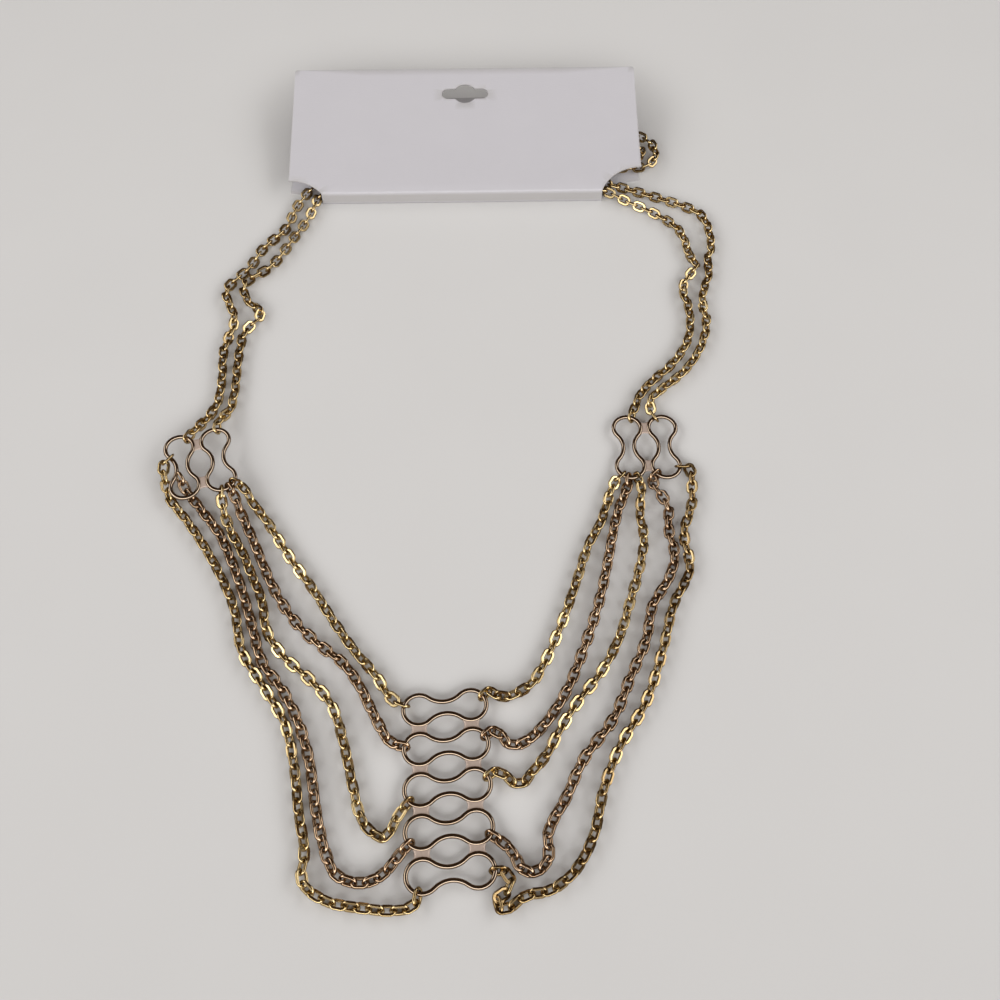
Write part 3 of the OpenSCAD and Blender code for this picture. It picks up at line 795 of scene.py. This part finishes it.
@dataclass
class Necklace:
    """The soldered loops and the fourteen chains between them and the clasp."""

    low: float = 0.00176
    left_lift: float = 0.0025
    lead: float = 0.0028
    clasp_at: Place = (0.0, 0.1285)
    clasp_reach: float = 0.0069
    clasp_r: float = 0.0024
    tuck: float = 0.0019
    sink: float = 0.0007

    def __post_init__(self) -> None:
        """Places the three groups of loops."""
        self.ladder = LoopGroup("ladder_loops", "centre_ladder", (0.0, -0.1174), 6.0, -2.7, 5, self.low)
        self.left = LoopGroup("left_connector_loops", "left_connector", (-0.0766, -0.0197), -75.0, 0.0, 2,
                              self.low + self.left_lift)
        self.right = LoopGroup("right_connector_loops", "right_connector", (0.0583, -0.0121), -89.0, 0.0, 2,
                               self.low)

    def hold(self, group: LoopGroup, row: float, side: int, angle: float, link: Link) -> list[Place]:
        """The first two places of a strand whose first ring hooks a lobe's wire."""
        out = -link.hook(group.wire.wire_d / 2)
        return group.held(row, side, angle, (out, self.lead))

    def hold_inside(self, group: LoopGroup, row: float, side: int, angle: float, link: Link) -> list[Place]:
        """The first two places of a strand that starts inside its loop and sinks below it."""
        out = link.hook(group.wire.wire_d / 2)
        return group.held(row, side, angle, (out,)) + group.held(row, side, angle, (-self.tuck,), self.sink)

    def clasp_end(self, side: int, angle: float, link: Link) -> list[Place]:
        """The last two places of a chain whose last ring hooks the clasp."""
        centre = Vector(self.clasp_at) + Vector((side * self.clasp_reach, 0.0))
        out = -link.hook(LoopWire().wire_d / 2)
        return [(*(centre + (self.clasp_r + away) * along(angle)), IN) for away in (out, self.lead)]

    def plan(self) -> list[Strand]:
        """Lists the fourteen chains with what holds each of their ends."""
        lad, lef, rig = self.ladder, self.left, self.right
        flat, thin = FLAT_LINK, ROUND_LINK

        def ladder(row: int, side: int, angle: float, link: Link) -> list[Place]:
            """An end at the ladder, whose rows are counted from the top."""
            return self.hold(lad, 3 - row, side, angle, link)

        ends = {
            "left_strand_1": (flat, self.hold(lef, 0.5, 1, -22, flat), ladder(1, -1, 160, flat)),
            "left_strand_2": (thin, self.hold(lef, 0.5, 1, -52, thin), ladder(2, -1, 169, thin)),
            "left_strand_3": (flat, self.hold(lef, 0.5, 1, -83, flat), ladder(3, -1, 228, flat)),
            "left_strand_4": (thin, self.hold_inside(lef, -0.5, 1, 125, thin), ladder(4, -1, 225, thin)),
            "left_strand_5": (flat, self.hold(lef, -0.5, -1, 236, flat), ladder(5, -1, 257, flat)),
            "right_strand_1": (flat, ladder(1, 1, 38, flat), self.hold(rig, -0.5, 1, -133, flat)),
            "right_strand_2": (thin, ladder(2, 1, 34, thin), self.hold(rig, -0.5, 1, -100, thin)),
            "right_strand_3": (flat, ladder(3, 1, 32, flat), self.hold(rig, -0.5, 1, -67, flat)),
            "right_strand_4": (thin, ladder(4, 1, -30, thin), self.hold(rig, 0.5, 1, -134, thin)),
            "right_strand_5": (flat, ladder(5, 1, -2, flat), self.hold(rig, 0.5, 1, -5, flat)),
            "left_outer_chain": (flat, self.hold(lef, -0.5, -1, 62, flat), self.clasp_end(-1, 150, flat)),
            "left_inner_chain": (flat, self.hold(lef, 0.5, -1, 90, flat), self.clasp_end(-1, 215, flat)),
            "right_outer_chain": (flat, self.hold(rig, 0.5, -1, 115, flat), self.clasp_end(1, 35, flat)),
            "right_inner_chain": (flat, self.hold(rig, -0.5, -1, 70, flat), self.clasp_end(1, -35, flat)),
        }
        plans = []
        for seed, (node, (link, start, finish)) in enumerate(ends.items(), start=11):
            route = [*start, *ROUTES[node], *reversed(finish)]
            metal = Finish.FLAT_LINKS if link is flat else Finish.ROUND_LINKS
            plans.append(Strand(node, route, link, metal, self.low, seed, tone=TONES.get(node, 0.0)))
        return plans

    def build(self) -> None:
        """Makes the loops, every chain and the clasp's dress."""
        loops = loop_tree()
        for group in (self.ladder, self.left, self.right):
            group.build(loops)
        rings = chain_tree()
        for strand in self.plan():
            strand.build(rings)
        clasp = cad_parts["clasp"]
        clasp.data.materials.clear()
        clasp.data.materials.append(Finish.CLASP.made())


@dataclass
class DisplayCard:
    """One sheet folded twice: a panel on the table, a narrow spine and a panel that has sprung open."""

    width: float = 0.125
    height: float = 0.055
    thick: float = 0.0005
    spine: float = 0.0054
    opened: float = 9.3
    notch_r: float = 0.0153
    left_drop: float = 0.0097
    right_drop: float = 0.0053
    hang_d: float = 0.0084
    hang_w: float = 0.017
    hang_slot: float = 0.0046
    hang_margin: float = 0.0116
    corner: float = 0.0008
    fold_r: float = 0.00045
    edge_r: float = 0.00009
    bowed: float = 0.0002
    dent: float = 0.00008
    grid: float = 0.004
    at: Place = (0.0014, 0.0932)
    turn: float = 1.0

    def rim(self, steps: int = 20) -> list[Vector]:
        """The panel's outline in its own plane, up its left side and down its right side."""
        half, corner = self.width / 2, self.corner
        sides = []
        for side, drop in ((-1, self.left_drop), (1, self.right_drop)):
            start = math.asin(drop / self.notch_r)
            arc = [Vector((side * (half - self.notch_r * math.cos(a)), self.notch_r * math.sin(a) - drop))
                   for a in (start + (math.pi / 2 - start) * k / steps for k in range(steps + 1))]
            top = [Vector((side * (half - corner * (1 - math.cos(a))),
                           self.height - corner * (1 - math.sin(a))))
                   for a in (math.pi / 2 * k / 5 for k in range(6))]
            sides.append(arc + top)
        return sides[0] + list(reversed(sides[1]))

    def hole(self, steps: int = 10) -> list[Vector]:
        """The hang hole: a slot with round ends and a round middle."""
        centre = Vector((0.0, self.height - self.hang_margin))
        slot_r, reach = self.hang_slot / 2, (self.hang_w - self.hang_slot) / 2
        meet = math.asin(slot_r / (self.hang_d / 2))
        line = []
        for side in (1, -1):
            base = 0.0 if side > 0 else math.pi
            line += [centre + Vector((side * reach, 0.0)) + slot_r * Vector((math.cos(a), math.sin(a)))
                     for a in (base - math.pi / 2 + math.pi * k / steps for k in range(steps + 1))]
            line += [centre + self.hang_d / 2 * Vector((math.cos(a), math.sin(a)))
                     for a in (base + meet + (math.pi - 2 * meet) * k / steps for k in range(steps + 1))]
        return line

    def panel(self) -> bmesh.types.BMesh:
        """One flat panel with its notches and hole, filled with small faces."""
        made = bmesh.new()
        for line in (self.rim(), self.hole()):
            corners = [made.verts.new((p.x, p.y, 0.0)) for p in line]
            for a, b in zip(corners, corners[1:] + corners[:1]):
                made.edges.new((a, b))
        bmesh.ops.triangle_fill(made, use_beauty=True, edges=made.edges[:])
        return made

    def build(self) -> None:
        """Cuts the sheet, folds it, gives it its thickness and dresses it."""
        whole = bmesh.new()
        for upper in (False, True):
            part = self.panel()
            reach = int(self.width / 2 / self.grid)
            cuts = [((0, k * self.grid, 0), (0, 1, 0)) for k in range(1, int(self.height / self.grid) + 1)]
            cuts += [((k * self.grid, 0, 0), (1, 0, 0)) for k in range(-reach, reach + 1)]
            for spot, across in cuts:
                bmesh.ops.bisect_plane(part, geom=part.verts[:] + part.edges[:] + part.faces[:],
                                       plane_co=spot, plane_no=across)
            turn = math.radians(self.opened) if upper else 0.0
            middle = -self.thick / 2 if upper else self.thick / 2
            crease = (self.thick / 2 + middle * math.sin(turn)) / math.cos(turn)
            for v in part.verts:
                v.co.y = max(v.co.y, crease)
                v.co.z = middle + self.bow(v.co.y, upper)
            lift = Matrix.Translation((0, 0, self.spine if upper else 0.0))
            part.transform(lift @ Matrix.Rotation(turn, 4, "X"))
            shell = bpy.data.meshes.new("panel")
            part.to_mesh(shell)
            part.free()
            whole.from_mesh(shell)
            bpy.data.meshes.remove(shell)
        self.add_spine(whole)
        bmesh.ops.remove_doubles(whole, verts=whole.verts[:], dist=0.00005)
        bmesh.ops.recalc_face_normals(whole, faces=whole.faces[:])
        piece = mesh_object("folded_card", [])
        whole.to_mesh(piece.data)
        whole.free()
        self.mark_rim(piece)
        self.rounded(piece, "rounded_folds", self.fold_r, 4)
        solid = piece.modifiers.new("thickness", "SOLIDIFY")
        solid.thickness = self.thick
        solid.offset = 0.0
        solid.use_even_offset = True
        self.rounded(piece, "soft_edges", self.edge_r, 2)
        mesh = evaluated(piece)
        piece.modifiers.clear()
        piece.data = mesh
        place = Matrix.Translation((*self.at, 0)) @ Matrix.Rotation(math.radians(self.turn), 4, "Z")
        mesh.transform(place)
        for face in mesh.polygons:
            face.use_smooth = True
        mesh.set_sharp_from_angle(angle=math.radians(40))
        mesh.materials.clear()
        mesh.materials.append(Finish.CARD.made())
        keep(piece, Finish.CARD, "card")

    def rounded(self, piece: bpy.types.Object, name: str, width: float, segments: int) -> None:
        """Rounds every edge that turns by more than 50 degrees."""
        bevel = piece.modifiers.new(name, "BEVEL")
        bevel.width = width
        bevel.segments = segments
        bevel.limit_method = "ANGLE"
        bevel.angle_limit = math.radians(50)

    def bow(self, y: float, upper: bool) -> float:
        """How far a panel bows out of its plane."""
        return -self.bowed * math.sin(math.pi * y / self.height) if upper else 0.0

    def add_spine(self, whole: bmesh.types.BMesh) -> None:
        """Joins the panels along the fold with a narrow strip."""
        creased = sorted((v for v in whole.verts if abs(v.co.y - self.thick / 2) < 0.00002),
                         key=lambda v: v.co.x)
        low = [v for v in creased if v.co.z < self.spine / 2]
        top = [v for v in creased if v.co.z > self.spine / 2]
        for (a, b), (c, d) in zip(zip(low, low[1:]), zip(top, top[1:])):
            rows = [(a, b)]
            for k in (1, 2, 3):
                t = k / 4
                bulge = self.thick / 2 - self.dent * math.sin(math.pi * t)
                rows.append(tuple(
                    whole.verts.new((p.co.x * (1 - t) + q.co.x * t, bulge, p.co.z * (1 - t) + q.co.z * t))
                    for p, q in ((a, c), (b, d))))
            rows.append((c, d))
            for (p, q), (r, s) in zip(rows, rows[1:]):
                whole.faces.new((p, q, s, r))

    def mark_rim(self, piece: bpy.types.Object) -> None:
        """Writes which corners lie on a cut edge, and which on the spine between its two creases."""
        # The spine strip is the part that the card's material paints darker as shade
        spine = piece.data.attributes.new(SHADED_SPINE, "FLOAT", "POINT")
        for corner, vertex in zip(spine.data, piece.data.vertices):
            between = 2 * self.thick < vertex.co.z < self.spine - 2 * self.thick
            corner.value = 1.0 if between and vertex.co.y < self.thick else 0.0
        marks = piece.data.attributes.new(RIM, "FLOAT", "POINT")
        work = bmesh.new()
        work.from_mesh(piece.data)
        for i, v in enumerate(work.verts):
            marks.data[i].value = 1.0 if v.is_boundary else 0.0
        work.free()


@dataclass
class Studio:
    """The pale table, the soft lights round it and the camera."""

    eye: Place = (0.0135, -0.2025, 0.287)
    tilt: float = 31.0
    lens: float = 40.32
    sensor: float = 36.0
    reach: float = 1.6
    glow: float = 3.8
    gloom: Colour = (0.07, 0.046, 0.03)
    softbox_at: Place = (0.45, -0.03, 0.36)
    softbox_size: tuple[float, float] = (0.3, 0.2)
    softbox_power: float = 0.03
    softbox_spread: float = 70.0

    def table(self) -> None:
        """A wide pale board whose top is the ground."""
        half = self.reach / 2
        rows = 8
        corners = [(-half + self.reach * i / rows, -half + self.reach * j / rows, 0.0)
                   for j in range(rows + 1) for i in range(rows + 1)]
        faces = [(j * (rows + 1) + i, j * (rows + 1) + i + 1, (j + 1) * (rows + 1) + i + 1,
                  (j + 1) * (rows + 1) + i) for j in range(rows) for i in range(rows)]
        board = mesh_object("table_top", corners, (), faces)
        paint = TableTop("pale_table", (0.56, 0.55, 0.54), (0.535, 0.525, 0.515))
        board.data.materials.append(paint.material())

    def camera(self) -> None:
        """The camera at the photograph's place and angle."""
        lens = bpy.data.cameras.new("camera")
        lens.sensor_width = self.sensor
        lens.lens = self.lens
        lens.clip_start = 0.01
        made = bpy.data.objects.new("camera", lens)
        made.location = self.eye
        made.rotation_euler = (math.radians(self.tilt), 0.0, 0.0)
        bpy.context.scene.collection.objects.link(made)
        bpy.context.scene.camera = made

    def softbox(self, name: str, place: Place) -> None:
        """A soft rectangular light that faces the middle of the table."""
        lamp = bpy.data.lights.new(name, "AREA")
        lamp.shape = "RECTANGLE"
        lamp.size, lamp.size_y = self.softbox_size
        lamp.energy = self.softbox_power
        lamp.spread = math.radians(self.softbox_spread)
        made = bpy.data.objects.new(name, lamp)
        made.location = place
        made.rotation_euler = (-Vector(place)).to_track_quat("-Z", "Y").to_euler()
        bpy.context.scene.collection.objects.link(made)

    def sky(self) -> None:
        """A dark room with a ring of light half way up, strongest in front and open behind the card."""
        world = bpy.data.worlds.new("studio")
        bpy.context.scene.world = world
        world.use_nodes = True
        graph = Graph(world.node_tree)
        where = graph.value("ShaderNodeTexCoord", output="Generated")
        height = graph.part_of(where, "Z")
        flat = graph.stretched(where, (1.0, 1.0, 0.0))
        bearing = graph.value("ShaderNodeVectorMath", {"operation": "NORMALIZE"}, {0: flat})
        away = graph.part_of(bearing, "Y")
        around = graph.value("ShaderNodeValToRGB", {"stops": [
            (0.0, WHITE), (0.18, (0.76, 0.76, 0.76)), (0.5, (0.54, 0.54, 0.54)),
            (0.82, (0.46, 0.46, 0.46)), (0.88, BLACK)]}, {0: away * 0.5 + 0.5})
        rise = graph.value("ShaderNodeValToRGB", {"stops": [
            (0.0, BLACK), (0.31, BLACK), (0.36, WHITE), (0.67, WHITE), (0.73, BLACK)]}, {0: height})
        ring = around * rise
        colour = graph.mixed(ring * 5.0, self.gloom, WHITE)
        light = graph.value("ShaderNodeBackground", {},
                            {"Color": colour, "Strength": ring * self.glow + 1.0})
        graph.add("ShaderNodeOutputWorld", {}, {"Surface": light})

    def build(self) -> None:
        """Sets the whole studio."""
        self.camera()
        self.table()
        self.sky()
        aside, ahead, above = self.softbox_at
        self.softbox("left_softbox", (-aside, ahead, above))
        self.softbox("right_softbox", self.softbox_at)
        settings = bpy.context.scene.view_settings
        settings.view_transform = "Standard"
        settings.look = "None"


def main() -> None:
    """Builds every piece."""
    logging.basicConfig(level=logging.INFO, format="%(name)s: %(message)s")
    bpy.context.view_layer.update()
    Studio().build()
    Necklace().build()
    DisplayCard().build()


if __name__ == "__main__":
    main()
